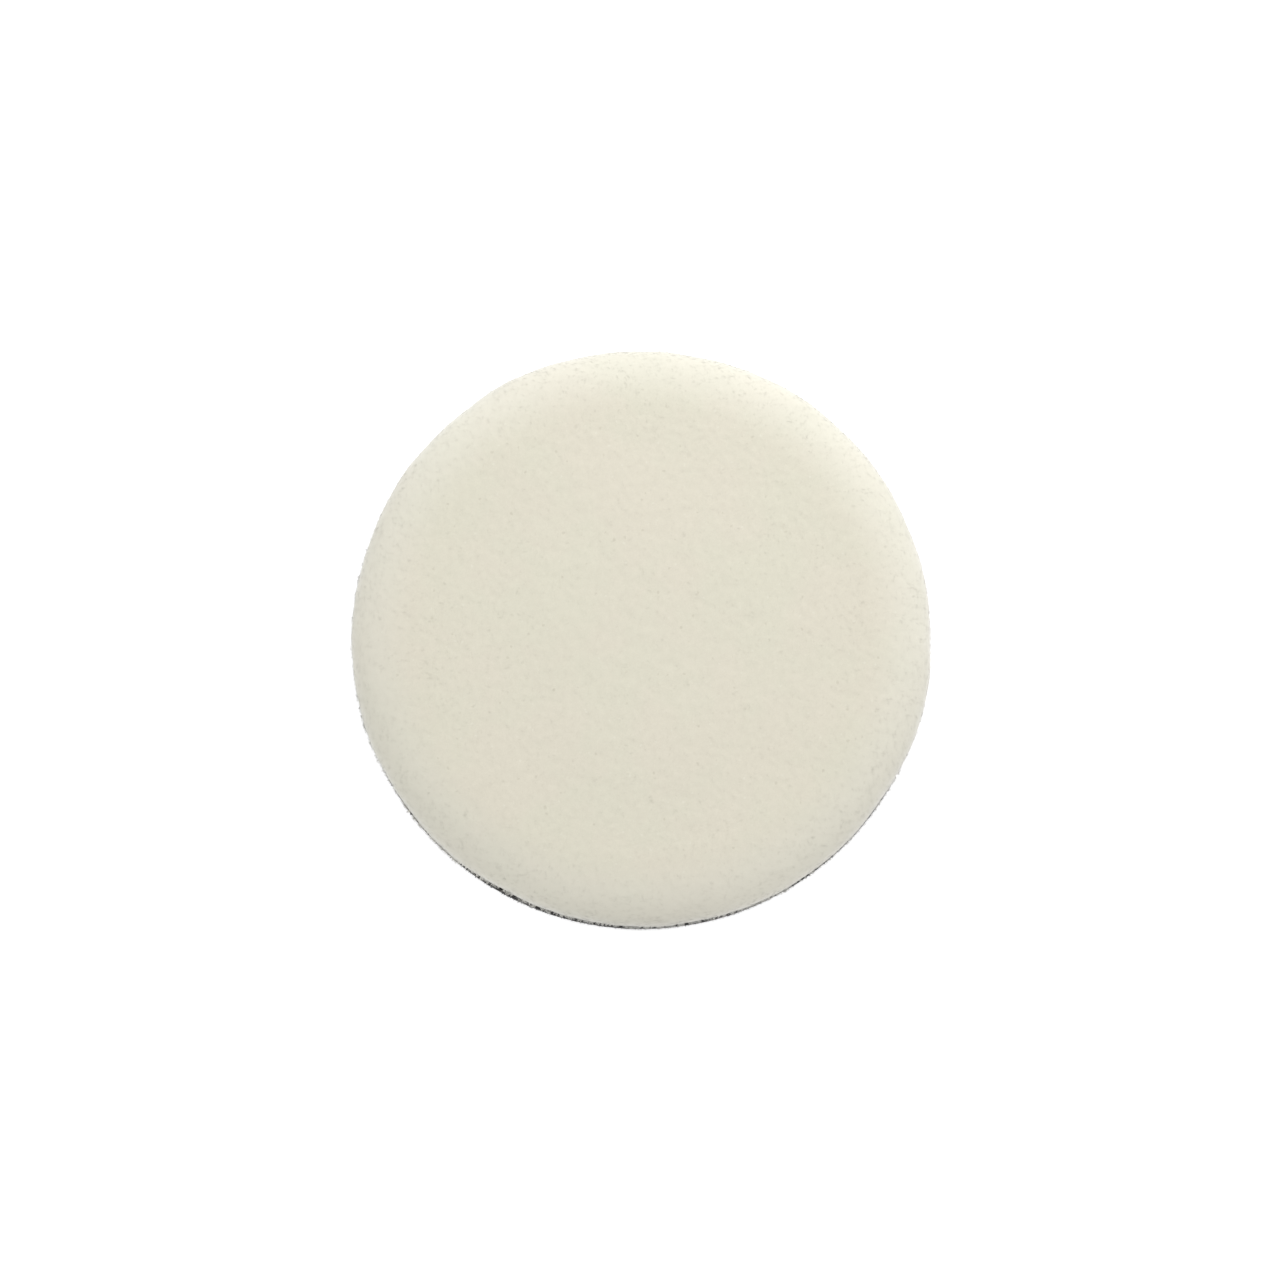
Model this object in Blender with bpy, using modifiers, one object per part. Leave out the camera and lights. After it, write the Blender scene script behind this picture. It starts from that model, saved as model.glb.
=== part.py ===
"""Felt polishing disc with a hook-and-loop back.

The disc is a laminate of three layers: pressed wool felt, a hot-melt film and a loop cloth.
Metres, +Z up. The origin is the centre of the back, where the loops rest on a flat surface, and
+Z points out of the felt's working face.
"""

import math

import bpy

# The felt: pressed wool, die-cut round, with its front edge rounded over.
FELT_DIAMETER = 0.1000
FELT_THICKNESS = 0.0096
FRONT_ROUND_WIDTH = 0.0090  # how far the rounded edge reaches in over the face
FRONT_ROUND_DEPTH = 0.0062  # how far it reaches down the side
BACK_EDGE_RADIUS = 0.0008  # the soft edge between the side and the back
SIDE_TAPER = 0.0004  # how much less the radius is at the back than at the widest place

# The hot-melt film that holds the cloth to the felt. It stops short of the felt's edge.
FILM_THICKNESS = 0.0004
FILM_SETBACK = 0.0006

# The loop cloth: a knitted ground with loops raised on its back. It shows as a thin dark edge
# under the felt, and the loops stand a little back from the ground's cut edge.
CLOTH_OVERHANG = 0.0002  # how far the ground stands out past the felt's widest place
GROUND_THICKNESS = 0.0009
PILE_HEIGHT = 0.0010
PILE_SETBACK = 0.0004
PILE_EDGE_RADIUS = 0.0005

LAYER_GAP = 0.0003  # kept between layers that touch

TURN_STEPS = 96
FRONT_ARC_STEPS = 12
SMALL_ARC_STEPS = 3
SHARP_ANGLE = math.radians(40)

# Each layer's height above the surface that the disc rests on
CLOTH_HEIGHT = 0.0
FILM_HEIGHT = CLOTH_HEIGHT + PILE_HEIGHT + GROUND_THICKNESS + LAYER_GAP
FELT_HEIGHT = FILM_HEIGHT + FILM_THICKNESS + LAYER_GAP

FELT_COLOUR = (0.75, 0.72, 0.60, 1.0)
FILM_COLOUR = (0.62, 0.57, 0.44, 1.0)
CLOTH_COLOUR = (0.030, 0.030, 0.033, 1.0)


def clear_scene():
    """Start from an empty scene."""
    for obj in list(bpy.data.objects):
        bpy.data.objects.remove(obj, do_unlink=True)


def make_collection(name):
    """A collection for the disc's layers, linked to the scene."""
    collection = bpy.data.collections.new(name)
    bpy.context.scene.collection.children.link(collection)
    return collection


def make_material(name, colour, roughness):
    """A plain Principled material; none of the layers is metal."""
    material = bpy.data.materials.new(name)
    material.use_nodes = True
    shader = material.node_tree.nodes["Principled BSDF"]
    shader.inputs["Base Color"].default_value = colour
    shader.inputs["Roughness"].default_value = roughness
    shader.inputs["Metallic"].default_value = 0.0
    material.diffuse_color = colour
    return material


def quarter_round(middle, across, down, start, steps):
    """Points on a quarter of an ellipse in the profile's plane, turning from start towards the back."""
    points = []
    for step in range(steps + 1):
        angle = start - math.pi / 2 * step / steps
        points.append((middle[0] + across * math.cos(angle), middle[1] + down * math.sin(angle)))
    return points


def turned_layer(name, profile, material, height, parent, collection):
    """Turn a profile of (radius, height) points, from the top's middle to the back's, into a solid."""
    mesh = bpy.data.meshes.new(name)
    corners = [(radius, 0.0, level) for radius, level in profile]
    mesh.from_pydata(corners, [(i, i + 1) for i in range(len(corners) - 1)], [])
    layer = bpy.data.objects.new(name, mesh)
    collection.objects.link(layer)

    turn = layer.modifiers.new("Turn", "SCREW")
    turn.axis = "Z"
    turn.steps = TURN_STEPS
    turn.render_steps = TURN_STEPS
    turn.use_merge_vertices = True
    turn.merge_threshold = 0.00001
    bpy.context.view_layer.objects.active = layer
    bpy.ops.object.modifier_apply(modifier=turn.name)

    layer.data.shade_smooth()
    layer.data.set_sharp_from_angle(angle=SHARP_ANGLE)
    layer.data.materials.append(material)
    layer.location.z = height
    layer.parent = parent
    return layer


def felt_profile():
    """A flat face, a long rounded front edge, a nearly straight side and a soft back edge."""
    radius = FELT_DIAMETER / 2
    back_radius = radius - SIDE_TAPER
    front = (radius - FRONT_ROUND_WIDTH, FELT_THICKNESS - FRONT_ROUND_DEPTH)
    back = (back_radius - BACK_EDGE_RADIUS, BACK_EDGE_RADIUS)
    return [
        (0.0, FELT_THICKNESS),
        *quarter_round(front, FRONT_ROUND_WIDTH, FRONT_ROUND_DEPTH, math.pi / 2, FRONT_ARC_STEPS),
        *quarter_round(back, BACK_EDGE_RADIUS, BACK_EDGE_RADIUS, 0.0, SMALL_ARC_STEPS),
        (0.0, 0.0),
    ]


def film_profile():
    """A thin flat disc, a little smaller than the felt's back."""
    radius = FELT_DIAMETER / 2 - SIDE_TAPER - FILM_SETBACK
    return [(0.0, FILM_THICKNESS), (radius, FILM_THICKNESS), (radius, 0.0), (0.0, 0.0)]


def cloth_profile():
    """The knitted ground, and under it the pile of loops with a rounded edge."""
    ground_radius = FELT_DIAMETER / 2 + CLOTH_OVERHANG
    pile_radius = ground_radius - PILE_SETBACK
    top = PILE_HEIGHT + GROUND_THICKNESS
    edge = (pile_radius - PILE_EDGE_RADIUS, PILE_EDGE_RADIUS)
    return [
        (0.0, top),
        (ground_radius, top),
        (ground_radius, PILE_HEIGHT),
        (pile_radius, PILE_HEIGHT),
        *quarter_round(edge, PILE_EDGE_RADIUS, PILE_EDGE_RADIUS, 0.0, SMALL_ARC_STEPS),
        (0.0, 0.0),
    ]


def make_felt_pad(disc, collection):
    """The pressed wool felt that does the polishing."""
    wool = make_material("wool_felt", FELT_COLOUR, 0.95)
    return turned_layer("felt_pad", felt_profile(), wool, FELT_HEIGHT, disc, collection)


def make_bond_film(disc, collection):
    """The hot-melt film between the felt and the cloth."""
    adhesive = make_material("adhesive_film", FILM_COLOUR, 0.45)
    return turned_layer("bond_film", film_profile(), adhesive, FILM_HEIGHT, disc, collection)


def make_loop_backing(disc, collection):
    """The loop cloth that the machine's hook-faced plate grips."""
    cloth = make_material("loop_cloth", CLOTH_COLOUR, 0.9)
    return turned_layer("loop_backing", cloth_profile(), cloth, CLOTH_HEIGHT, disc, collection)


def main():
    clear_scene()
    collection = make_collection("felt_polishing_wheel")
    disc = bpy.data.objects.new("disc", None)
    collection.objects.link(disc)
    make_loop_backing(disc, collection)
    make_bond_film(disc, collection)
    make_felt_pad(disc, collection)


main()
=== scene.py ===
import math

import bmesh
import bpy
import numpy as np
from mathutils import Matrix, Vector


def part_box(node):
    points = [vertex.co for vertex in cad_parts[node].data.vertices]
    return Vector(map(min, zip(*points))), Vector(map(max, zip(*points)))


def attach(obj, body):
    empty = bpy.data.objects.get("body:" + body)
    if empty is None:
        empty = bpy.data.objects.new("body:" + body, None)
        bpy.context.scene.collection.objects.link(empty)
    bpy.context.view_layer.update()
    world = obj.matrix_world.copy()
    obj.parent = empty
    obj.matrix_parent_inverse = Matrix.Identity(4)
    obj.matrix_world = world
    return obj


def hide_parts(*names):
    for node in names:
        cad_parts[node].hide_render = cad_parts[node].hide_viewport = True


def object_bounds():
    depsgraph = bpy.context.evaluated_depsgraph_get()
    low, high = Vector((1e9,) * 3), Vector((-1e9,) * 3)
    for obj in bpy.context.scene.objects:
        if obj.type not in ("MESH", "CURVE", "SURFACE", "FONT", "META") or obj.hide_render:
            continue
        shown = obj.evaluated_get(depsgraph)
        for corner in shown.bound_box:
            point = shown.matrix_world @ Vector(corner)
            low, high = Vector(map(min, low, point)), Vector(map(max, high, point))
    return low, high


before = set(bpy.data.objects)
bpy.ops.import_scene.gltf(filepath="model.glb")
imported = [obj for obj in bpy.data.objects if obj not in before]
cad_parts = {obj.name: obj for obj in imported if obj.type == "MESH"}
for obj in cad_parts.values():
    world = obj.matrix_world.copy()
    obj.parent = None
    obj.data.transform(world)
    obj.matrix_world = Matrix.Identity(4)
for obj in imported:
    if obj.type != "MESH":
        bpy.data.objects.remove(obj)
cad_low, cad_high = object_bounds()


# ---- Loop cloth: the knitted ground ----------------------------------------------------------
# The dark layer on the disc's back is a warp-knitted nylon cloth, dyed charcoal. It is cut with
# the same die as the felt, so its edge is a plain ragged cut, and the film above it holds it on.

cloth_low, cloth_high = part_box("loop_backing")
film_low, film_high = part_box("bond_film")

CLOTH_RADIUS = cloth_high.x
GROUND_SETBACK = 0.0006
GROUND_RADIUS = CLOTH_RADIUS - GROUND_SETBACK
CLOTH_SHIFT = (-0.00004, -0.00042, 0.0)  # it was laid on a little off centre
PILE_HEIGHT = 0.0010
GROUND_LOW = cloth_low.z + PILE_HEIGHT
GROUND_HIGH = (cloth_high.z + film_low.z) / 2
GROUND_EDGE_ROUND = 0.00022
GROUND_EDGE_CUTS = 3
GROUND_POINTS = 720
EDGE_RAGGED = 0.00016
EDGE_RAGGED_SIZE = 0.0009
GROUND_SHARP_ANGLE = 50.0
KNIT_ROW = 0.00075
ROWS_PER_SCALE = 3.183  # rows per metre that a wave texture gives at a scale of one
KNIT_RELIEF = 0.00012
DYE_WAVES = 260.0
THREAD_WAVES = 5200.0
LINT_WAVES = 900.0
STREAK_SHARE = 0.45
LINT_SHARE = 0.6
CHARCOAL = (0.034, 0.033, 0.034, 1.0)
CHARCOAL_WORN = (0.085, 0.082, 0.082, 1.0)
CHARCOAL_LINT = (0.28, 0.265, 0.24, 1.0)


def deselect_all():
    """Nothing stays selected, so that an operator acts on the new piece alone."""
    bpy.ops.object.select_all(action="DESELECT")


def start_disc(name, radius, height, points):
    """A round blank at its size and place, as a piece with its object at the origin."""
    deselect_all()
    bpy.ops.mesh.primitive_circle_add(
        vertices=points, radius=radius, fill_type="NGON", location=(0.0, 0.0, height)
    )
    piece = bpy.context.object
    piece.name = name
    piece.data.name = name
    bpy.ops.object.transform_apply(location=True, rotation=True, scale=True)
    return piece


def add_ring(old, new):
    """Extrude the selected cap from one (radius, height) to the next."""
    bpy.ops.mesh.extrude_region_move(TRANSFORM_OT_translate={"value": (0.0, 0.0, new[1] - old[1])})
    share = new[0] / old[0]
    bpy.ops.transform.resize(value=(share, share, 1.0), center_override=(0.0, 0.0, new[1]))


def raise_rings(rings):
    """Take the blank up through its rings. It stays in edit mode, with the last cap selected."""
    bpy.ops.object.mode_set(mode="EDIT")
    bpy.ops.mesh.select_mode(type="FACE")
    bpy.ops.mesh.select_all(action="SELECT")
    for old, new in zip(rings, rings[1:]):
        add_ring(old, new)


def put_in_order(elements, place):
    """Number a mesh's points, edges or faces by their place."""
    for number, element in enumerate(sorted(elements, key=place)):
        element.index = number
    elements.sort()
    elements.index_update()


def number_by_place(mesh):
    """Number all of the mesh in edit mode by place. The operators that extrude it number its faces
    in another order at every run, and the nap's seeded draws pick faces by number."""
    work = bmesh.from_edit_mesh(mesh)
    put_in_order(work.verts, lambda point: point.co[:])
    put_in_order(work.edges, lambda edge: sorted(point.index for point in edge.verts))
    put_in_order(work.faces, lambda face: sorted(point.index for point in face.verts))
    bmesh.update_edit_mesh(mesh)


def face_outward():
    """Turn every face of the piece in edit mode to the outside, number it and leave edit mode."""
    bpy.ops.mesh.select_all(action="SELECT")
    bpy.ops.mesh.normals_make_consistent(inside=False)
    number_by_place(bpy.context.object.data)
    bpy.ops.object.mode_set(mode="OBJECT")


def arc_of(middle, across, up, first, last, steps):
    """Points (radius, height) on part of an ellipse, from one angle to another, in degrees."""
    found = []
    for step in range(steps + 1):
        angle = math.radians(first + (last - first) * step / steps)
        found.append((middle[0] + across * math.cos(angle), middle[1] + up * math.sin(angle)))
    return found


def ruffle(piece, kind, size, depth, strength, group=""):
    """Push the surface in and out along its normals by a procedural texture, and apply it."""
    pattern = bpy.data.textures.new(f"{piece.name}_{kind}", "CLOUDS")
    pattern.noise_scale = size
    pattern.noise_depth = depth
    push = piece.modifiers.new(kind, "DISPLACE")
    push.texture = pattern
    push.texture_coords = "LOCAL"
    push.mid_level = 0.5
    push.strength = strength
    push.vertex_group = group
    bpy.context.view_layer.objects.active = piece
    bpy.ops.object.modifier_apply(modifier=push.name)


def add_node(tree, kind, place, **settings):
    """One shader node at a place on the sheet, with its settings."""
    node = tree.nodes.new(kind)
    node.location = (place[0] * 200, place[1] * -220)
    for name, value in settings.items():
        setattr(node, name, value)
    return node


def noise_at(tree, vector, place, scale, detail, roughness=0.5, distortion=0.0):
    """A 3D noise that reads the vector, in waves per metre."""
    node = add_node(tree, "ShaderNodeTexNoise", place)
    node.inputs["Scale"].default_value = scale
    node.inputs["Detail"].default_value = detail
    node.inputs["Roughness"].default_value = roughness
    node.inputs["Distortion"].default_value = distortion
    tree.links.new(vector, node.inputs["Vector"])
    return node.outputs["Fac"]


def ranged(tree, value, place, low, high, to_low=0.0, to_high=1.0):
    """The part of a value between low and high, spread smoothly from to_low to to_high."""
    node = add_node(tree, "ShaderNodeMapRange", place, interpolation_type="SMOOTHSTEP")
    node.inputs["From Min"].default_value = low
    node.inputs["From Max"].default_value = high
    node.inputs["To Min"].default_value = to_low
    node.inputs["To Max"].default_value = to_high
    tree.links.new(value, node.inputs["Value"])
    return node.outputs["Result"]


def worked(tree, operation, place, first, second):
    """One step of arithmetic on two values, either of which may be a plain number."""
    node = add_node(tree, "ShaderNodeMath", place, operation=operation)
    for socket, value in zip(node.inputs, (first, second)):
        if isinstance(value, (int, float)):
            socket.default_value = value
        else:
            tree.links.new(value, socket)
    return node.outputs["Value"]


def mixed(tree, place, share, first, second, blend="MIX"):
    """Two colours mixed by a share. A colour may be a socket or four numbers."""
    node = add_node(tree, "ShaderNodeMix", place, data_type="RGBA", blend_type=blend)
    if isinstance(share, (int, float)):
        node.inputs["Factor"].default_value = share
    else:
        tree.links.new(share, node.inputs["Factor"])
    for socket, value in ((node.inputs[6], first), (node.inputs[7], second)):
        if isinstance(value, tuple):
            socket.default_value = value
        else:
            tree.links.new(value, socket)
    return node.outputs[2]


def new_group(name, wanted, given):
    """A shader node group with named inputs and outputs, and its two end nodes."""
    tree = bpy.data.node_groups.new(name, "ShaderNodeTree")
    for label, kind in wanted.items():
        tree.interface.new_socket(label, in_out="INPUT", socket_type=kind)
    for label, kind in given.items():
        tree.interface.new_socket(label, in_out="OUTPUT", socket_type=kind)
    start = add_node(tree, "NodeGroupInput", (-1, 0))
    end = add_node(tree, "NodeGroupOutput", (9, 0))
    return tree, start.outputs, end.inputs


def new_material(name, roughness):
    """A Principled material with its node tree, its shader and the piece's own coordinates."""
    material = bpy.data.materials.new(name)
    material.use_nodes = True
    tree = material.node_tree
    shader = tree.nodes["Principled BSDF"]
    shader.location = (1400, 0)
    tree.nodes["Material Output"].location = (1700, 0)
    shader.inputs["Roughness"].default_value = roughness
    coordinates = add_node(tree, "ShaderNodeTexCoord", (-2, 0))
    return material, tree, shader, coordinates.outputs["Object"]


def cloth_thread_group():
    """The dyed nylon's colour: uneven dye, paler worn patches, a little lint and a height."""
    tree, given, found = new_group(
        "cloth_thread_detail",
        {"Place": "NodeSocketVector", "Wear": "NodeSocketFloat"},
        {"Colour": "NodeSocketColor", "Height": "NodeSocketFloat", "Roughness": "NodeSocketFloat"},
    )
    dye = ranged(tree, noise_at(tree, given["Place"], (0, 0), DYE_WAVES, 3.0), (1, 0), 0.35, 0.7)
    thread = noise_at(tree, given["Place"], (0, 1), THREAD_WAVES, 3.0, 0.6)
    worn = worked(tree, "MULTIPLY", (2, 0), dye, given["Wear"])
    streak = ranged(tree, thread, (2, 1), 0.35, 0.72)
    streak = worked(tree, "MULTIPLY", (3, 1), streak, STREAK_SHARE)
    share = worked(tree, "MAXIMUM", (3, 0), streak, worn)
    colour = mixed(tree, (4, 0), share, CHARCOAL, CHARCOAL_WORN)
    lint = noise_at(tree, given["Place"], (0, 2), LINT_WAVES, 2.0, 0.7, 1.5)
    lint_share = ranged(tree, lint, (1, 2), 0.70, 0.80, 0.0, LINT_SHARE)
    colour = mixed(tree, (5, 0), lint_share, colour, CHARCOAL_LINT)
    tree.links.new(colour, found["Colour"])
    tree.links.new(thread, found["Height"])
    tree.links.new(ranged(tree, thread, (4, 2), 0.3, 0.7, 0.95, 0.72), found["Roughness"])
    return tree


cloth_thread_detail = cloth_thread_group()


def cloth_material(name, wear):
    """Charcoal nylon, with the dye and thread detail shared by all of the cloth's pieces."""
    material, tree, shader, place = new_material(name, 0.85)
    detail = add_node(tree, "ShaderNodeGroup", (2, 0), node_tree=cloth_thread_detail)
    detail.inputs["Wear"].default_value = wear
    tree.links.new(place, detail.inputs["Place"])
    tree.links.new(detail.outputs["Colour"], shader.inputs["Base Color"])
    tree.links.new(detail.outputs["Roughness"], shader.inputs["Roughness"])
    shader.inputs["Sheen Weight"].default_value = 0.15
    shader.inputs["Sheen Roughness"].default_value = 0.5
    shader.inputs["Specular IOR Level"].default_value = 0.35
    return material, tree, shader, detail, place


ground_rings = [
    (GROUND_RADIUS - GROUND_EDGE_ROUND, GROUND_LOW),
    *arc_of(
        (GROUND_RADIUS - GROUND_EDGE_ROUND, GROUND_LOW + GROUND_EDGE_ROUND),
        GROUND_EDGE_ROUND, GROUND_EDGE_ROUND, -60, 0, GROUND_EDGE_CUTS,
    ),
    (GROUND_RADIUS, (GROUND_LOW + GROUND_HIGH) / 2),
    *arc_of(
        (GROUND_RADIUS - GROUND_EDGE_ROUND, GROUND_HIGH - GROUND_EDGE_ROUND),
        GROUND_EDGE_ROUND, GROUND_EDGE_ROUND, 0, 90, GROUND_EDGE_CUTS,
    ),
]
loop_ground = start_disc("loop_ground", ground_rings[0][0], GROUND_LOW, GROUND_POINTS)
raise_rings(ground_rings)
bpy.ops.mesh.select_all(action="SELECT")
bpy.ops.transform.translate(value=CLOTH_SHIFT)
face_outward()
edge_points = loop_ground.vertex_groups.new(name="cut_edge")
edge_points.add(
    [p.index for p in loop_ground.data.vertices if p.co.z > GROUND_LOW and p.co.z < GROUND_HIGH],
    1.0, "REPLACE",
)
ruffle(loop_ground, "ragged_cut", EDGE_RAGGED_SIZE, 3, EDGE_RAGGED, "cut_edge")
loop_ground.vertex_groups.clear()
loop_ground.data.shade_smooth()
loop_ground.data.set_sharp_from_angle(angle=math.radians(GROUND_SHARP_ANGLE))

ground_cloth, tree, shader, detail, place = cloth_material("charcoal_knit", wear=0.5)
rows = add_node(tree, "ShaderNodeTexWave", (0, 2), wave_type="BANDS", bands_direction="X")
rows.inputs["Scale"].default_value = 1.0 / KNIT_ROW / ROWS_PER_SCALE
rows.inputs["Distortion"].default_value = 1.2
rows.inputs["Detail"].default_value = 1.0
tree.links.new(place, rows.inputs["Vector"])
ribs = worked(tree, "ADD", (3, 2), rows.outputs["Fac"], detail.outputs["Height"])
knit_bump = add_node(tree, "ShaderNodeBump", (5, 2))
knit_bump.inputs["Strength"].default_value = 0.8
knit_bump.inputs["Distance"].default_value = KNIT_RELIEF
tree.links.new(ribs, knit_bump.inputs["Height"])
tree.links.new(knit_bump.outputs["Normal"], shader.inputs["Normal"])
loop_ground.data.materials.append(ground_cloth)
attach(loop_ground, "root")
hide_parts("loop_backing")


# ---- Loop cloth: the cut threads at its edge -------------------------------------------------
# The die cuts through the knit, and leaves the ends of its threads standing out a little all
# round. They are the same charcoal nylon as the ground, and are part of it.

THREAD_COUNT = 1700
THREAD_LENGTH = 0.00046
THREAD_LENGTHS = (0.6, 1.15)
THREAD_WIDTH = 0.00005
THREAD_WIDTHS = (0.7, 1.2)
THREAD_SINK = 0.00018
THREAD_ABOVE_BACK = 0.00008
THREAD_BELOW_TOP = 0.00012
THREAD_SWING = 0.45
THREAD_RISE = (-0.05, 0.25)
THREAD_CURL = 0.2
FIBRE_SIDES = 3
FIBRE_REACH = 0.001
BAKE_MAP_WIDTH = 2.04 * (CLOTH_RADIUS + FIBRE_REACH)  # the disc and its fibres, with a margin
cut_draws = np.random.default_rng(11)


def model_fibre(name, rings):
    """One tapering fibre, standing on the origin and one unit long. rings are (width, height)."""
    deselect_all()
    bpy.ops.mesh.primitive_circle_add(
        vertices=FIBRE_SIDES, radius=rings[0][0], fill_type="NGON", location=(0.0, 0.0, 0.0)
    )
    fibre = bpy.context.object
    fibre.name = name
    raise_rings(rings)
    bpy.ops.mesh.extrude_region_move(TRANSFORM_OT_translate={"value": (0.0, 0.0, 1.0 - rings[-1][1])})
    bpy.ops.mesh.merge(type="CENTER")
    face_outward()
    return fibre


def pattern_of(piece):
    """The points and faces of a shape that was modelled once. The shape itself is then put away."""
    points = np.array([tuple(point.co) for point in piece.data.vertices])
    faces = [np.array(face.vertices) for face in piece.data.polygons]
    bpy.data.objects.remove(piece, do_unlink=True)
    return points, faces


def lay_copies(name, pattern, starts, across, beside, along, bend, shades):
    """One piece that holds a copy of the pattern at each start. The pattern's own x, y and z run
    along across, beside and along, and bend curves it more the further up it is."""
    points, faces = pattern
    count = len(starts)
    placed = starts[:, None, :] + points[None, :, 0:1] * across[:, None, :]
    placed = placed + points[None, :, 1:2] * beside[:, None, :]
    placed = placed + points[None, :, 2:3] * along[:, None, :]
    placed = placed + points[None, :, 2:3] ** 2 * bend[:, None, :]
    sizes = np.array([len(face) for face in faces])
    corners = np.concatenate(faces)
    copy_numbers = np.arange(count)[:, None]
    all_corners = (corners[None, :] + len(points) * copy_numbers).ravel()
    first_corners = np.concatenate([[0], np.cumsum(sizes)[:-1]])
    all_firsts = (first_corners[None, :] + sizes.sum() * copy_numbers).ravel()
    mesh = bpy.data.meshes.new(name)
    mesh.vertices.add(count * len(points))
    mesh.vertices.foreach_set("co", placed.astype(np.float32).ravel())
    mesh.loops.add(len(all_corners))
    mesh.loops.foreach_set("vertex_index", all_corners.astype(np.int32))
    mesh.polygons.add(count * len(faces))
    mesh.polygons.foreach_set("loop_start", all_firsts.astype(np.int32))
    mesh.update(calc_edges=True)
    mesh.shade_smooth()
    shade = mesh.attributes.new("shade", "FLOAT", "POINT")
    shade.data.foreach_set("value", np.repeat(shades, len(points)).astype(np.float32))
    bake_map = mesh.uv_layers.new(name="OFBake")
    flat = placed.reshape(-1, 3)[all_corners][:, :2]
    unit = 0.5 + flat / BAKE_MAP_WIDTH
    bake_map.data.foreach_set("uv", unit.astype(np.float32).ravel())
    piece = bpy.data.objects.new(name, mesh)
    bpy.context.scene.collection.objects.link(piece)
    return piece


def unit_rows(rows):
    """Each row as a direction of length one."""
    return rows / np.linalg.norm(rows, axis=1, keepdims=True)


stub = pattern_of(model_fibre("thread_stub", [(1.0, 0.0), (0.95, 0.5)]))
turns = cut_draws.uniform(0.0, 2 * math.pi, THREAD_COUNT)
outward = np.stack([np.cos(turns), np.sin(turns), np.zeros(THREAD_COUNT)], axis=1)
around = np.stack([-np.sin(turns), np.cos(turns), np.zeros(THREAD_COUNT)], axis=1)
upward = np.tile([0.0, 0.0, 1.0], (THREAD_COUNT, 1))
heights = cut_draws.uniform(
    GROUND_LOW + THREAD_ABOVE_BACK, GROUND_HIGH - THREAD_BELOW_TOP, THREAD_COUNT
)
thread_roots = outward * (GROUND_RADIUS - THREAD_SINK) + upward * heights[:, None]
thread_roots = thread_roots + np.array(CLOTH_SHIFT)
swing = cut_draws.normal(0.0, THREAD_SWING, (THREAD_COUNT, 1))
rise = cut_draws.normal(*THREAD_RISE, (THREAD_COUNT, 1))
thread_ways = unit_rows(outward + around * swing + upward * rise)
thread_lengths = THREAD_LENGTH * cut_draws.uniform(*THREAD_LENGTHS, (THREAD_COUNT, 1))
thread_sides = unit_rows(np.cross(thread_ways, upward))
thread_widths = THREAD_WIDTH * cut_draws.uniform(*THREAD_WIDTHS, (THREAD_COUNT, 1))
cut_threads = lay_copies(
    "cut_threads", stub, thread_roots, thread_sides * thread_widths,
    np.cross(thread_sides, thread_ways) * -thread_widths, thread_ways * thread_lengths,
    upward * thread_lengths * cut_draws.normal(0.0, THREAD_CURL, (THREAD_COUNT, 1)),
    cut_draws.uniform(0.0, 1.0, THREAD_COUNT),
)
thread_nylon = cloth_material("charcoal_thread", wear=0.9)[0]
cut_threads.data.materials.append(thread_nylon)
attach(cut_threads, "root")


# ---- Loop cloth: the pile --------------------------------------------------------------------
# Thousands of fine nylon loops are raised out of the ground on the disc's back, for the hooks of
# the machine's plate to catch. Each is one thread that leaves the knit and goes back in.

LOOP_SPACING = 0.00072
LOOP_STRAY = 0.28 * LOOP_SPACING
LOOP_WIDTH = 0.00026
LOOP_WIDTHS = (0.8, 1.35)
LOOP_HEIGHTS = (0.72, 1.0)
LOOP_TURN = 0.7
LOOP_LEAN = (0.25, 0.4)
LOOP_THREAD = 0.000055
LOOP_STEPS = 5
LOOP_CLEAR = 0.00003
LOOP_SINK = 0.00006
LOOP_ROOT = GROUND_LOW + LOOP_SINK
PILE_SETBACK = 0.0001
PILE_RADIUS = GROUND_RADIUS - PILE_SETBACK
PILE_PIECES = 3
pile_draws = np.random.default_rng(23)


def model_loop():
    """One half hoop of thread, one unit wide each way and one unit high, with both ends closed."""
    deselect_all()
    thread = LOOP_THREAD / LOOP_WIDTH
    bpy.ops.mesh.primitive_circle_add(
        vertices=FIBRE_SIDES, radius=thread, fill_type="NGON", location=(1.0 - thread, 0.0, 0.0)
    )
    loop = bpy.context.object
    loop.name = "pile_loop"
    bpy.ops.object.transform_apply(location=True, rotation=True, scale=True)
    bpy.ops.object.mode_set(mode="EDIT")
    bpy.ops.mesh.select_all(action="SELECT")
    bpy.ops.mesh.spin(
        steps=LOOP_STEPS, angle=math.pi, center=(0.0, 0.0, 0.0), axis=(0.0, 1.0, 0.0)
    )
    face_outward()
    return loop


hoop = pattern_of(model_loop())
steps_across = int(2 * PILE_RADIUS / LOOP_SPACING)
line = (np.arange(steps_across) + 0.5) * LOOP_SPACING - PILE_RADIUS
grid_x, grid_y = np.meshgrid(line, line)
pile_xy = np.stack([grid_x.ravel(), grid_y.ravel()], axis=1)
pile_xy[:, 1] += np.repeat(np.arange(steps_across) % 2, steps_across) * LOOP_SPACING / 2
pile_xy += pile_draws.normal(0.0, LOOP_STRAY, pile_xy.shape)
pile_xy = pile_xy[np.hypot(pile_xy[:, 0], pile_xy[:, 1]) < PILE_RADIUS - LOOP_WIDTH]
loop_count = len(pile_xy)
loop_roots = np.column_stack([pile_xy, np.full(loop_count, LOOP_ROOT)]) + np.array(CLOTH_SHIFT)
loop_turns = pile_draws.normal(0.0, LOOP_TURN, loop_count)
loop_across = np.column_stack([np.cos(loop_turns), np.sin(loop_turns), np.zeros(loop_count)])
loop_beside = np.column_stack([-np.sin(loop_turns), np.cos(loop_turns), np.zeros(loop_count)])
loop_widths = LOOP_WIDTH * pile_draws.uniform(*LOOP_WIDTHS, (loop_count, 1))
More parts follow.
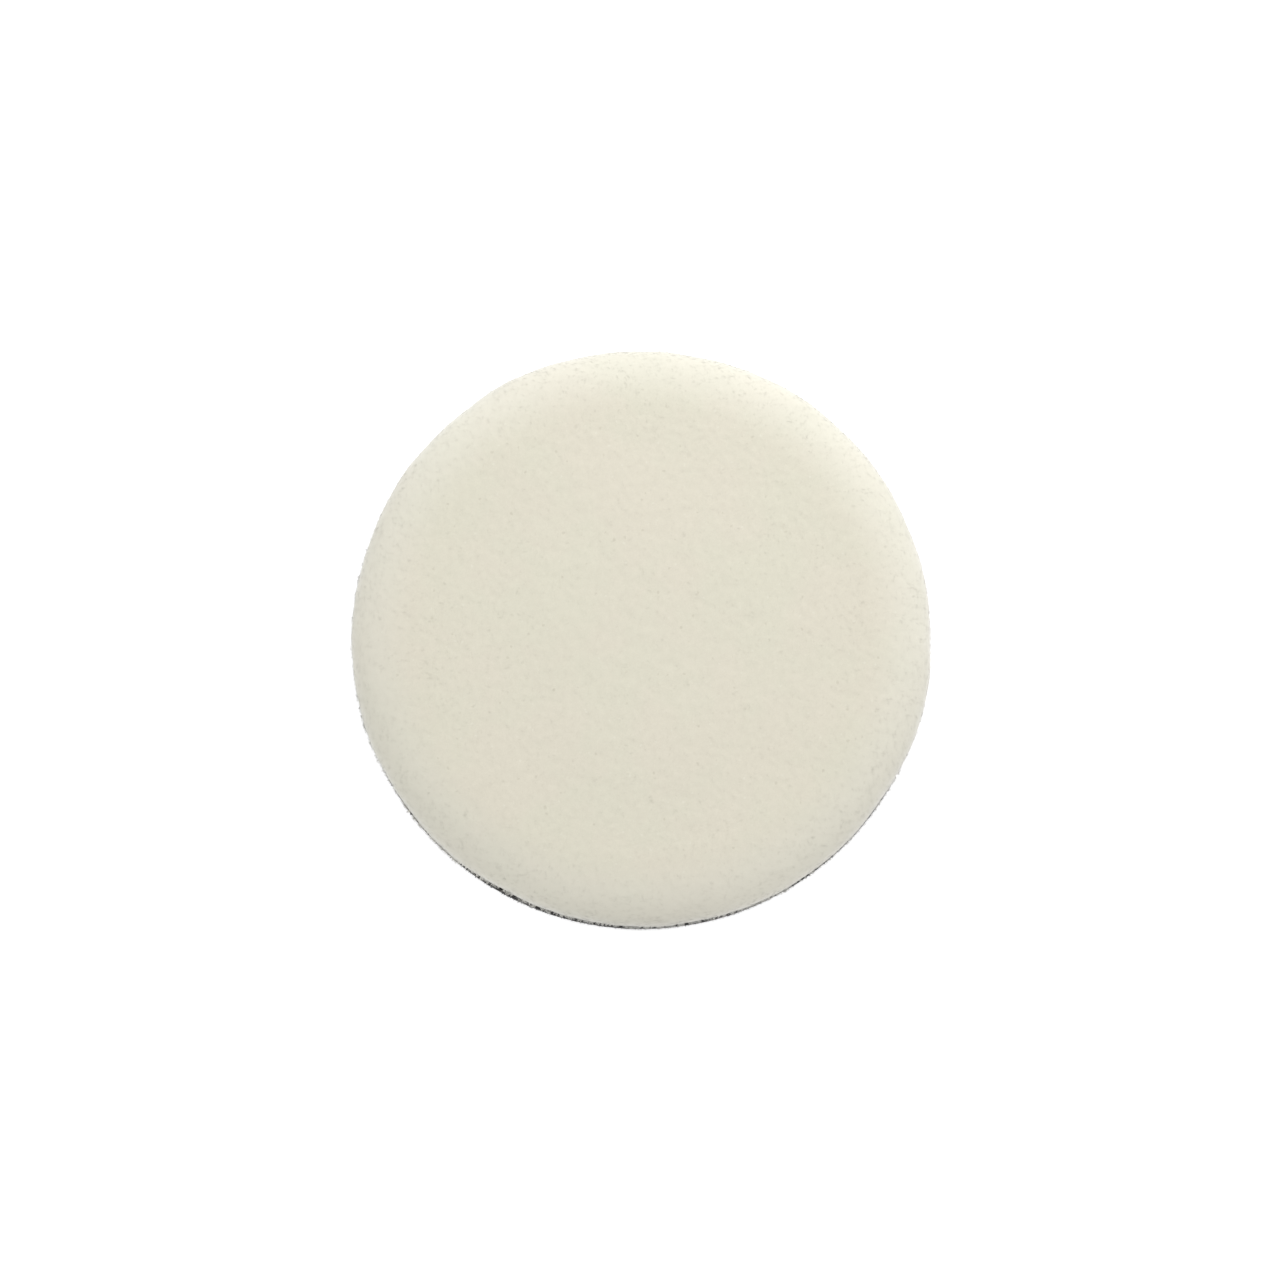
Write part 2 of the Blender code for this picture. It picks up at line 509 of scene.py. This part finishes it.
deepest = LOOP_ROOT - cloth_low.z - LOOP_CLEAR
loop_heights = deepest * pile_draws.uniform(*LOOP_HEIGHTS, (loop_count, 1))
lean = loop_beside * pile_draws.normal(*LOOP_LEAN, (loop_count, 1)) * loop_heights
loop_down = np.column_stack([np.zeros((loop_count, 2)), -loop_heights[:, 0]])
loop_shades = pile_draws.uniform(0.0, 1.0, loop_count)
pile_nylon = cloth_material("charcoal_pile", wear=1.0)[0]
# The hoops hang down, so their beside is turned round to keep their faces outward.
for number in range(PILE_PIECES):
    part = slice(number, None, PILE_PIECES)
    pile = lay_copies(
        f"loop_pile_{number + 1}", hoop, loop_roots[part], (loop_across * loop_widths)[part],
        (-loop_beside * loop_widths)[part], loop_down[part], lean[part], loop_shades[part],
    )
    pile.data.materials.append(pile_nylon)
    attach(pile, "root")


# ---- Hot-melt film ---------------------------------------------------------------------------
# A web of amber hot-melt glue, ironed between the cloth and the felt, holds the two together.
# Only its squeezed edge can be seen, as an uneven bead a little inside the edge of the disc.

felt_low, felt_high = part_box("felt_pad")

FILM_RADIUS = film_high.x
FILM_POINTS = 600
BEAD_REACH = 0.00030
BEAD_WIDTH = 0.0009
BEAD_LOW = GROUND_HIGH
BEAD_HIGH = (film_high.z + felt_low.z) / 2
BEAD_CUTS = 6
BEAD_FILL = 0.96
BEAD_EVEN = 0.45 * BEAD_REACH
BEAD_UNEVEN = 0.00045
BEAD_UNEVEN_SIZE = 0.0045
GLUE_CLOUD_WAVES = 420.0
GLUE_WEB_WAVES = 2600.0
GLUE_RELIEF = 0.00008
GLUE_DEPTH = (0.0010, 0.0007, 0.0004)
AMBER = (0.60, 0.47, 0.27, 1.0)
AMBER_PALE = (0.74, 0.67, 0.50, 1.0)

bead_half = (BEAD_HIGH - BEAD_LOW) / 2
bead_middle = (BEAD_LOW + BEAD_HIGH) / 2
film_rings = [
    (FILM_RADIUS - 2 * BEAD_WIDTH, film_low.z),
    (FILM_RADIUS - BEAD_WIDTH, film_low.z),
    *arc_of((FILM_RADIUS, bead_middle), BEAD_REACH, bead_half * BEAD_FILL, -90, 90, BEAD_CUTS),
    (FILM_RADIUS - BEAD_WIDTH, film_high.z),
    (FILM_RADIUS - 2 * BEAD_WIDTH, film_high.z),
]
film_layer = start_disc("film_layer", film_rings[0][0], film_rings[0][1], FILM_POINTS)
raise_rings(film_rings)
face_outward()
bead_points = film_layer.vertex_groups.new(name="bead")
bead_points.add(
    [p.index for p in film_layer.data.vertices if p.co.xy.length > FILM_RADIUS + BEAD_EVEN],
    1.0, "REPLACE",
)
ruffle(film_layer, "squeezed_out", BEAD_UNEVEN_SIZE, 2, BEAD_UNEVEN, "bead")
film_layer.vertex_groups.clear()
film_layer.data.shade_smooth()

glue, tree, shader, place = new_material("amber_hot_melt", 0.42)
clouding = noise_at(tree, place, (0, 0), GLUE_CLOUD_WAVES, 3.0, 0.6)
web = noise_at(tree, place, (0, 1), GLUE_WEB_WAVES, 2.0, 0.5, 0.8)
glue_colour = mixed(tree, (3, 0), ranged(tree, clouding, (1, 0), 0.35, 0.68), AMBER, AMBER_PALE)
tree.links.new(glue_colour, shader.inputs["Base Color"])
tree.links.new(ranged(tree, web, (2, 1), 0.3, 0.7, 0.34, 0.6), shader.inputs["Roughness"])
glue_bump = add_node(tree, "ShaderNodeBump", (4, 2))
glue_bump.inputs["Strength"].default_value = 0.6
glue_bump.inputs["Distance"].default_value = GLUE_RELIEF
tree.links.new(web, glue_bump.inputs["Height"])
tree.links.new(glue_bump.outputs["Normal"], shader.inputs["Normal"])
shader.inputs["Subsurface Weight"].default_value = 0.2
shader.inputs["Subsurface Radius"].default_value = GLUE_DEPTH
film_layer.data.materials.append(glue)
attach(film_layer, "root")
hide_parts("bond_film")


# ---- Felt: the pressed wool body -------------------------------------------------------------
# Cream wool, carded, wetted and pressed until it mats into one dense board, then die-cut round.
# Its front edge is ground over all round, and its face and side are brushed to a soft surface.

FELT_RADIUS = felt_high.x
FELT_BACK = BEAD_HIGH
FELT_TOP = felt_high.z
FRONT_ROUND_WIDTH = 0.0120
FRONT_ROUND_DEPTH = 0.0062
SIDE_TAPER = 0.0004
BACK_ROUND = 0.0004
BACK_CUTS = 2
SIDE_RINGS = 8
FRONT_CUTS = 42
FRONT_FULLNESS = 2.4
FELT_POINTS = 800
WAVE_SIZE = 0.024
WAVE_DEPTH = 0.00040
EDGE_WAVE_START = 0.044
EDGE_WAVE_SIZE = 0.011
EDGE_WAVE_DEPTH = 0.0006
CLUMP_SIZE = 0.0030
CLUMP_DEPTH = 0.00010
TUFT_SIZE = 0.0010
TUFT_DEPTH = 0.00008
PATCH_WAVES = 60.0
PATCH_EVENED = 0.5
CLUMP_WAVES = 900.0
FIBRE_WAVES = 3600.0
PIT_CELLS = 330.0
PIT_SIZE = (0.05, 0.11)
FLECK_CELLS = 470.0
FLECK_SIZE = (0.04, 0.13)
CELL_BEND = 0.0006
CELL_BEND_WAVES = 1500.0
WOOL_RELIEF = 0.00010
WOOL = (0.650, 0.622, 0.518, 1.0)
WOOL_ROSY = (0.660, 0.617, 0.520, 1.0)
WOOL_GREEN = (0.640, 0.624, 0.514, 1.0)
# Painted shade: the colour that the small pits are darkened to.
WOOL_PIT_SHADE = (0.50, 0.47, 0.38, 1.0)
WOOL_BRIGHT = (0.72, 0.70, 0.60, 1.0)
# Painted sheen: the wool's colour is made paler and whiter towards the rounded edge, all round, for a
# brighter rim.
WOOL_PAINTED_SHEEN = (0.700, 0.685, 0.600, 1.0)
PAINTED_SHEEN_EDGE = (0.0385, 0.0475)
PAINTED_SHEEN_SHARE = 0.50
# Painted shade: the wool's colour is darkened low on its side all round, and more on the side away
# from the lamp, where shade falls near the table.
WOOL_PAINTED_SHADE = (0.150, 0.143, 0.125, 1.0)
PAINTED_SHADE_MIDDLE = (-0.0004, -0.0500, 0.0035)
PAINTED_SHADE_SPREAD = (0.006, 0.026)
PAINTED_SHADE_HEIGHT = (0.0032, 0.0125)
PAINTED_SHADE_ALL_ROUND = 0.22
PAINTED_SHADE_ONE_SIDE = 0.30
PAINTED_SHADE_BY_CLUMPS = (0.80, 1.15)

back_radius = FELT_RADIUS - SIDE_TAPER
widest = FELT_TOP - FRONT_ROUND_DEPTH
felt_rings = arc_of(
    (back_radius - BACK_ROUND, FELT_BACK + BACK_ROUND), BACK_ROUND, BACK_ROUND, -90, 0, BACK_CUTS
)
for step in range(1, SIDE_RINGS):
    share = step / SIDE_RINGS
    height = FELT_BACK + BACK_ROUND + share * (widest - FELT_BACK - BACK_ROUND)
    felt_rings.append((back_radius + SIDE_TAPER * share, height))
felt_rings.append((FELT_RADIUS, widest))
for step in range(1, FRONT_CUTS + 1):
    angle = math.pi / 2 * step / FRONT_CUTS
    reach = FRONT_ROUND_WIDTH * math.cos(angle) ** (2 / FRONT_FULLNESS)
    rise = FRONT_ROUND_DEPTH * math.sin(angle) ** (2 / FRONT_FULLNESS)
    felt_rings.append((FELT_RADIUS - FRONT_ROUND_WIDTH + reach, widest + rise))
felt_body = start_disc("felt_body", felt_rings[0][0], felt_rings[0][1], FELT_POINTS)
raise_rings(felt_rings)
bpy.ops.mesh.delete(type="ONLY_FACE")
work = bmesh.from_edit_mesh(felt_body.data)
bpy.ops.mesh.select_mode(type="EDGE")
bpy.ops.mesh.select_all(action="DESELECT")
for edge in work.edges:
    edge.select_set(edge.is_boundary)
bmesh.update_edit_mesh(felt_body.data)
bpy.ops.mesh.fill_grid(span=FELT_POINTS // 4)
face_outward()
ruffle(felt_body, "pressing", WAVE_SIZE, 1, WAVE_DEPTH)
ruffle(felt_body, "clumps", CLUMP_SIZE, 2, CLUMP_DEPTH)
ruffle(felt_body, "tufts", TUFT_SIZE, 1, TUFT_DEPTH)
edge_weights = felt_body.vertex_groups.new(name="edge")
for point in felt_body.data.vertices:
    share = (point.co.xy.length - EDGE_WAVE_START) / (FELT_RADIUS - EDGE_WAVE_START)
    if share > 0.0:
        edge_weights.add([point.index], min(share, 1.0), "REPLACE")
ruffle(felt_body, "uneven_cut", EDGE_WAVE_SIZE, 1, EDGE_WAVE_DEPTH, "edge")
felt_body.vertex_groups.clear()
felt_body.data.shade_smooth()


def wool_fibre_group():
    """Cream wool: faint rosy and green patches, clumps, fibres, small pits painted dark as shade, and
    pale flecks. It also has a painted sheen that makes the edge paler, and a painted shade that
    darkens the side low down, most on the side away from the lamp."""
    tree, given, found = new_group(
        "wool_fibre_detail",
        {"Place": "NodeSocketVector", "Shade": "NodeSocketFloat", "Marks": "NodeSocketFloat"},
        {"Colour": "NodeSocketColor", "Height": "NodeSocketFloat"},
    )
    patches = noise_at(tree, given["Place"], (0, 0), PATCH_WAVES, 3.0, 0.65)
    tint = mixed(tree, (2, 0), ranged(tree, patches, (1, 0), 0.36, 0.64), WOOL_GREEN, WOOL_ROSY)
    tint = mixed(tree, (3, 0), PATCH_EVENED, tint, WOOL)
    clumps = noise_at(tree, given["Place"], (0, 1), CLUMP_WAVES, 3.0, 0.6, 0.4)
    fibres = noise_at(tree, given["Place"], (0, 2), FIBRE_WAVES, 3.0, 0.65, 1.2)
    mottle = worked(tree, "ADD", (1, 2), worked(tree, "MULTIPLY", (1, 1), clumps, 0.6), fibres)
    light = ranged(tree, mottle, (2, 2), 0.55, 1.05, 0.965, 1.025)
    light = worked(tree, "ADD", (3, 2), light, given["Shade"])
    grey = add_node(tree, "ShaderNodeCombineColor", (4, 2))
    for socket in grey.inputs:
        tree.links.new(light, socket)
    colour = mixed(tree, (5, 0), 1.0, tint, grey.outputs["Color"], "MULTIPLY")
    pit_cells = add_node(tree, "ShaderNodeTexVoronoi", (1, 3))
    pit_cells.inputs["Scale"].default_value = PIT_CELLS
    bent = add_node(tree, "ShaderNodeVectorMath", (0, 3), operation="MULTIPLY_ADD")
    bender = add_node(tree, "ShaderNodeTexNoise", (-1, 3))
    bender.inputs["Scale"].default_value = CELL_BEND_WAVES
    tree.links.new(given["Place"], bender.inputs["Vector"])
    tree.links.new(bender.outputs["Color"], bent.inputs[0])
    bent.inputs[1].default_value = (CELL_BEND, CELL_BEND, CELL_BEND)
    tree.links.new(given["Place"], bent.inputs[2])
    tree.links.new(bent.outputs["Vector"], pit_cells.inputs["Vector"])
    # Painted shade: the small pits are coloured darker, as shade in the hollows, and the height dips
    # there too.
    pits = ranged(tree, pit_cells.outputs["Distance"], (2, 3), *PIT_SIZE, 1.0, 0.0)
    pits = worked(tree, "MULTIPLY", (3, 3), pits, given["Marks"])
    colour = mixed(tree, (6, 0), pits, colour, WOOL_PIT_SHADE)
    fleck_cells = add_node(tree, "ShaderNodeTexVoronoi", (1, 4))
    fleck_cells.inputs["Scale"].default_value = FLECK_CELLS
    tree.links.new(bent.outputs["Vector"], fleck_cells.inputs["Vector"])
    flecks = ranged(tree, fleck_cells.outputs["Distance"], (2, 4), *FLECK_SIZE, 1.0, 0.0)
    flecks = worked(tree, "MULTIPLY", (3, 4), flecks, given["Marks"])
    colour = mixed(tree, (7, 0), flecks, colour, WOOL_BRIGHT)
    # Painted sheen: the colour turns paler towards the edge, by the distance from the axis.
    flat_place = add_node(tree, "ShaderNodeVectorMath", (1, 7), operation="MULTIPLY")
    flat_place.inputs[1].default_value = (1.0, 1.0, 0.0)
    tree.links.new(given["Place"], flat_place.inputs[0])
    from_middle = add_node(tree, "ShaderNodeVectorMath", (2, 7), operation="LENGTH")
    tree.links.new(flat_place.outputs["Vector"], from_middle.inputs[0])
    painted_sheen = ranged(tree, from_middle.outputs["Value"], (3, 7), *PAINTED_SHEEN_EDGE, 0.0, PAINTED_SHEEN_SHARE)
    colour = mixed(tree, (8, 1), painted_sheen, colour, WOOL_PAINTED_SHEEN)
    # Painted shade: darker low on the side, most of all on the side away from the lamp, and uneven
    # with the clumps.
    middle = add_node(tree, "ShaderNodeVectorMath", (1, 5), operation="DISTANCE")
    middle.inputs[1].default_value = PAINTED_SHADE_MIDDLE
    tree.links.new(given["Place"], middle.inputs[0])
    shaded_side = ranged(tree, middle.outputs["Value"], (2, 5), *PAINTED_SHADE_SPREAD, PAINTED_SHADE_ONE_SIDE, 0.0)
    parts = add_node(tree, "ShaderNodeSeparateXYZ", (1, 6))
    tree.links.new(given["Place"], parts.inputs["Vector"])
    low_down = ranged(tree, parts.outputs["Z"], (2, 6), *PAINTED_SHADE_HEIGHT, 1.0, 0.0)
    painted_shade = worked(tree, "ADD", (3, 5), shaded_side, PAINTED_SHADE_ALL_ROUND)
    painted_shade = worked(tree, "MULTIPLY", (4, 5), painted_shade, low_down)
    shade_by_clumps = ranged(tree, clumps, (3, 6), 0.30, 0.70, *PAINTED_SHADE_BY_CLUMPS)
    painted_shade = worked(tree, "MULTIPLY", (5, 5), painted_shade, shade_by_clumps)
    colour = mixed(tree, (8, 0), painted_shade, colour, WOOL_PAINTED_SHADE)
    height = worked(tree, "SUBTRACT", (6, 2), mottle, pits)
    tree.links.new(colour, found["Colour"])
    tree.links.new(height, found["Height"])
    return tree


wool_fibre_detail = wool_fibre_group()


def wool_material(name, marks):
    """Cream wool, with the fibre detail shared by the felt's body and its nap."""
    material, tree, shader, place = new_material(name, 0.95)
    detail = add_node(tree, "ShaderNodeGroup", (2, 0), node_tree=wool_fibre_detail)
    detail.inputs["Marks"].default_value = marks
    tree.links.new(place, detail.inputs["Place"])
    tree.links.new(detail.outputs["Colour"], shader.inputs["Base Color"])
    shader.inputs["Sheen Weight"].default_value = 0.65
    shader.inputs["Sheen Roughness"].default_value = 0.50
    shader.inputs["Sheen Tint"].default_value = (0.97, 0.98, 1.0, 1.0)
    shader.inputs["Specular IOR Level"].default_value = 0.15
    return material, tree, shader, detail


body_wool, tree, shader, detail = wool_material("pressed_wool", marks=0.45)
wool_bump = add_node(tree, "ShaderNodeBump", (5, 2))
wool_bump.inputs["Strength"].default_value = 0.15
wool_bump.inputs["Distance"].default_value = WOOL_RELIEF
tree.links.new(detail.outputs["Height"], wool_bump.inputs["Height"])
tree.links.new(wool_bump.outputs["Normal"], shader.inputs["Normal"])
felt_body.data.materials.append(body_wool)
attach(felt_body, "root")
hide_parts("felt_pad")


# ---- Felt: the nap on its face ---------------------------------------------------------------
# Brushing lifts the ends of the wool fibres out of the board. On the face they are about a
# millimetre long, and lie down in every direction, so that the face looks matted and not woven.

FACE_FIBRES = 40000
FACE_PIECES = 3
FACE_FIBRE_LENGTH = 0.00095
FACE_FIBRE_WIDTH = 0.000042
FACE_LEAN = (0.5, 6.0)
FACE_COMB = (0.0, 0.0, 0.0)
FACE_CURL = 0.06
FACE_NAP_SETBACK = 0.0090
FACE_NAP_OVERLAP = 0.0045
FACE_UP = 0.5
FIBRE_LENGTHS = (0.65, 1.3)
FIBRE_WIDTHS = (0.75, 1.3)
FIBRE_CURLS = (0.4, 1.2)
FIBRE_SWAY = 0.22
FIBRE_FLATNESS = 0.5
NAP_SINK = 0.00005
NAP_FADE = 0.003
NAP_SHADE = 0.006
NAP_OWN_LIGHT = 0.12
TUFT_LOOSENESS = 0.35
face_draws = np.random.default_rng(37)


def triangles_of(piece):
    """The corner points, unit normals and areas of a piece's triangles."""
    mesh = piece.data
    mesh.calc_loop_triangles()
    points = np.zeros(len(mesh.vertices) * 3)
    mesh.vertices.foreach_get("co", points)
    corners = np.zeros(len(mesh.loop_triangles) * 3, np.int32)
    mesh.loop_triangles.foreach_get("vertices", corners)
    placed = points.reshape(-1, 3)[corners.reshape(-1, 3)]
    crossed = np.cross(placed[:, 1] - placed[:, 0], placed[:, 2] - placed[:, 0])
    doubled = np.linalg.norm(crossed, axis=1)
    return placed, crossed / np.maximum(doubled, 1e-15)[:, None], doubled / 2


def roots_on(surface, share, count, draws):
    """Seeded places spread evenly over the triangles, more where share is more, with their normals."""
    placed, normals, areas = surface
    chance = areas * share
    chosen = draws.choice(len(areas), count, p=chance / chance.sum())
    first = np.sqrt(draws.uniform(0.0, 1.0, (count, 1)))
    second = draws.uniform(0.0, 1.0, (count, 1))
    corners = placed[chosen]
    spots = (1 - first) * corners[:, 0] + first * (1 - second) * corners[:, 1]
    return spots + first * second * corners[:, 2], normals[chosen]


def soften(piece, facing, own, points):
    """Let the fibres catch the light mostly as the matted surface under them does."""
    mesh = piece.data
    normals = np.zeros(len(mesh.vertices) * 3, np.float32)
    mesh.vertex_normals.foreach_get("vector", normals)
    blended = normals.reshape(-1, 3) * own + np.repeat(facing, points, axis=0) * (1.0 - own)
    mesh.normals_split_custom_set_from_vertices(unit_rows(blended).tolist())


def grow_nap(
    name, pieces, pattern, roots, normals, draws, length, width, lean, comb, curl, shade, own, tuft
):
    """Fibres that leave the felt at their roots, lean over, follow the comb and curl back down.
    The fibres of one tuft lean the same way, give or take."""
    count = len(roots)
    loose = np.repeat(draws.normal(0.0, 1.0, (count // tuft, 3)), tuft, axis=0) + comb
    loose = loose + draws.normal(0.0, TUFT_LOOSENESS, (count, 3))
    flat = unit_rows(loose - normals * np.sum(loose * normals, axis=1, keepdims=True))
    lifts = np.radians(draws.uniform(lean[0], lean[1], (count, 1)))
    ways = flat * np.cos(lifts) + normals * np.sin(lifts)
    sides = unit_rows(np.cross(ways, normals))
    lengths = length * draws.uniform(*FIBRE_LENGTHS, (count, 1))
    widths = width * draws.uniform(*FIBRE_WIDTHS, (count, 1))
    tops = np.cross(sides, ways)
    bends = -normals * curl * lengths * draws.uniform(*FIBRE_CURLS, (count, 1))
    bends = bends + sides * lengths * draws.normal(0.0, FIBRE_SWAY, (count, 1))
    shades = draws.normal(0.0, shade, count)
    made = []
    for number in range(pieces):
        part = slice(number, None, pieces)
        nap = lay_copies(
            f"{name}_{number + 1}", pattern, (roots - normals * NAP_SINK)[part],
            (sides * widths)[part], (tops * -widths * FIBRE_FLATNESS)[part],
            (ways * lengths)[part], bends[part], shades[part],
        )
        soften(nap, normals[part], own, len(pattern[0]))
        made.append(nap)
    return made


nap_wool, tree, shader, detail = wool_material("brushed_wool", marks=0.25)
own_shade = add_node(tree, "ShaderNodeAttribute", (0, 2), attribute_name="shade")
tree.links.new(own_shade.outputs["Fac"], detail.inputs["Shade"])

felt_surface = triangles_of(felt_body)
middles = felt_surface[0].mean(axis=1)
from_axis = np.hypot(middles[:, 0], middles[:, 1])
face_edge = FELT_RADIUS - FACE_NAP_SETBACK
on_face = np.clip((face_edge + FACE_NAP_OVERLAP - from_axis) / NAP_FADE, 0.0, 1.0)
on_face = on_face * (felt_surface[1][:, 2] > FACE_UP)
short_fibre = pattern_of(model_fibre("short_fibre", [(1.0, 0.0), (0.85, 0.55)]))
face_roots, face_normals = roots_on(felt_surface, on_face, FACE_FIBRES, face_draws)
for nap in grow_nap(
    "felt_nap_face", FACE_PIECES, short_fibre, face_roots, face_normals, face_draws,
    FACE_FIBRE_LENGTH, FACE_FIBRE_WIDTH, FACE_LEAN, FACE_COMB, FACE_CURL, NAP_SHADE, NAP_OWN_LIGHT,
    tuft=1,
):
    nap.data.materials.append(nap_wool)
    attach(nap, "root")


# ---- Felt: the nap on its rounded edge and side ----------------------------------------------
# Round the edge the fibres stand out further than on the face, where nothing has pressed them
# down. They droop towards the back, and the lowest hang over the dark edge of the cloth.

RIM_FIBRES = 20000
RIM_PIECES = 2
RIM_FIBRE_LENGTH = 0.0010
RIM_FIBRE_WIDTH = 0.000040
RIM_LEAN = (0.5, 8.0)
RIM_COMB = (0.0, 0.0, -0.7)
RIM_CURL = 0.08
RIM_NAP_START = 0.0012
RIM_NAP_BOTTOM = FELT_BACK + 0.00005
rim_draws = np.random.default_rng(41)

on_rim = np.clip((from_axis - face_edge - RIM_NAP_START) / NAP_FADE, 0.0, 1.0)
on_rim = on_rim * (middles[:, 2] > RIM_NAP_BOTTOM)
long_fibre = pattern_of(model_fibre("long_fibre", [(1.0, 0.0), (0.95, 0.35), (0.75, 0.70)]))
rim_roots, rim_normals = roots_on(felt_surface, on_rim, RIM_FIBRES, rim_draws)
for nap in grow_nap(
    "felt_nap_rim", RIM_PIECES, long_fibre, rim_roots, rim_normals, rim_draws,
    RIM_FIBRE_LENGTH, RIM_FIBRE_WIDTH, RIM_LEAN, RIM_COMB, RIM_CURL, NAP_SHADE, NAP_OWN_LIGHT,
    tuft=1,
):
    nap.data.materials.append(nap_wool)
    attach(nap, "root")


# ---- Felt: the fringe at its back edge -------------------------------------------------------
# Where the die leaves the felt, loose wool fibres hang from its lowest edge in small tufts. They
# reach down over the dark cut edge of the cloth.

FRINGE_TUFTS = 1400
FRINGE_TUFT_FIBRES = 6
FRINGE_TUFT_SPREAD = 0.00012
FRINGE_LENGTH = 0.00100
FRINGE_WIDTH = 0.000054
FRINGE_LEAN = (16.0, 50.0)
FRINGE_COMB = (0.0, 0.0, -2.4)
FRINGE_CURL = 0.05
FRINGE_SHADE = 0.012
FRINGE_OWN_LIGHT = 0.4
FRINGE_BOTTOM = FELT_BACK + 0.00008
FRINGE_TOP = FELT_BACK + 0.0016
fringe_draws = np.random.default_rng(53)


def tufted(roots, normals, fibres, spread, draws):
    """Each root opened into a small tuft of roots, spread over the surface round it."""
    roots = np.repeat(roots, fibres, axis=0)
    normals = np.repeat(normals, fibres, axis=0)
    apart = draws.normal(0.0, spread, roots.shape)
    apart = apart - normals * np.sum(apart * normals, axis=1, keepdims=True)
    return roots + apart, normals


on_fringe = (middles[:, 2] > FRINGE_BOTTOM) * (middles[:, 2] < FRINGE_TOP) * 1.0
fringe_roots, fringe_normals = roots_on(felt_surface, on_fringe, FRINGE_TUFTS, fringe_draws)
fringe_roots, fringe_normals = tufted(
    fringe_roots, fringe_normals, FRINGE_TUFT_FIBRES, FRINGE_TUFT_SPREAD, fringe_draws
)
for nap in grow_nap(
    "felt_fringe", 1, long_fibre, fringe_roots, fringe_normals, fringe_draws,
    FRINGE_LENGTH, FRINGE_WIDTH, FRINGE_LEAN, FRINGE_COMB, FRINGE_CURL, FRINGE_SHADE, FRINGE_OWN_LIGHT,
    tuft=FRINGE_TUFT_FIBRES,
):
    nap.data.materials.append(nap_wool)
    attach(nap, "root")


# ---- Studio ----------------------------------------------------------------------------------
# The disc lies face up on a plain pale table under an even white sky, with one large soft lamp
# on its far side. The camera looks down on it, tipped a little so that its near side shows.

FLOOR_SIZE = 20.0
FLOOR_COLOUR = (0.92, 0.92, 0.92, 1.0)
FLOOR_GLOW = 0.55
FLOOR_GLOW_LIGHT = (0.3, 0.3, 0.3, 1.0)
FLOOR_GLOW_SEEN = (1.0, 1.0, 1.0, 1.0)
SKY_LIGHT = (0.92, 0.92, 0.92, 1.0)
SKY_SEEN = (1.3, 1.3, 1.3, 1.0)
LAMP_TURN = 70.0
LAMP_HEIGHT = 30.0
LAMP_DISTANCE = 0.36
LAMP_SIZE = 0.36
LAMP_POWER = 0.76
CAMERA_TURN = -6.0
CAMERA_ELEVATION = 82.2
CAMERA_LENS = 300.0
SENSOR_WIDTH = 36.0
VIEW_WIDTH = 0.2209
VIEW_CLIP = 100.0
AIM_SHIFT = (-0.00030, -0.00040, 0.0)

deselect_all()
bpy.ops.mesh.primitive_plane_add(size=FLOOR_SIZE, location=(0.0, 0.0, cad_low.z))
floor = bpy.context.object
floor.name = "floor"
floor_paint, tree, shader = new_material("pale_table", 0.9)[:3]
shader.inputs["Base Color"].default_value = FLOOR_COLOUR
shader.inputs["Specular IOR Level"].default_value = 0.0
seen_straight = add_node(tree, "ShaderNodeLightPath", (0, 0)).outputs["Is Camera Ray"]
glow_colour = mixed(tree, (2, 0), seen_straight, FLOOR_GLOW_LIGHT, FLOOR_GLOW_SEEN)
tree.links.new(glow_colour, shader.inputs["Emission Color"])
shader.inputs["Emission Strength"].default_value = FLOOR_GLOW
floor.data.materials.append(floor_paint)

sky = bpy.data.worlds.new("studio_sky")
sky.use_nodes = True
sky_paint = sky.node_tree.nodes["Background"]
sky_seen = add_node(sky.node_tree, "ShaderNodeLightPath", (-4, 0)).outputs["Is Camera Ray"]
sky_colour = mixed(sky.node_tree, (-2, 0), sky_seen, SKY_LIGHT, SKY_SEEN)
sky.node_tree.links.new(sky_colour, sky_paint.inputs["Color"])
bpy.context.scene.world = sky

disc_middle = Vector((0.0, 0.0, (cad_low.z + cad_high.z) / 2))
lamp_turn = math.radians(LAMP_TURN)
lamp_height = math.radians(LAMP_HEIGHT)
lamp_way = Vector((
    math.cos(lamp_turn) * math.cos(lamp_height),
    math.sin(lamp_turn) * math.cos(lamp_height),
    math.sin(lamp_height),
))
lamp_data = bpy.data.lights.new("soft_lamp", "AREA")
lamp_data.shape = "DISK"
lamp_data.size = LAMP_SIZE
lamp_data.energy = LAMP_POWER
lamp = bpy.data.objects.new("soft_lamp", lamp_data)
lamp.location = disc_middle + lamp_way * LAMP_DISTANCE
lamp.rotation_euler = (-lamp_way).to_track_quat("-Z", "Y").to_euler()
bpy.context.scene.collection.objects.link(lamp)

camera_turn = math.radians(CAMERA_TURN)
camera_height = math.radians(CAMERA_ELEVATION)
back = Vector((
    math.sin(camera_turn) * math.cos(camera_height),
    -math.cos(camera_turn) * math.cos(camera_height),
    math.sin(camera_height),
))
right = Vector((0.0, 1.0, 0.0)).cross(back).normalized()
up = back.cross(right)
camera_data = bpy.data.cameras.new("camera")
camera_data.lens = CAMERA_LENS
camera_data.sensor_width = SENSOR_WIDTH
camera_data.clip_end = VIEW_CLIP
camera = bpy.data.objects.new("camera", camera_data)
aim = disc_middle + Vector(AIM_SHIFT)
camera.location = aim + back * (VIEW_WIDTH * CAMERA_LENS / SENSOR_WIDTH)
camera.rotation_euler = Matrix((right, up, back)).transposed().to_euler()
bpy.context.scene.collection.objects.link(camera)
bpy.context.scene.camera = camera
bpy.context.scene.view_settings.view_transform = "Standard"
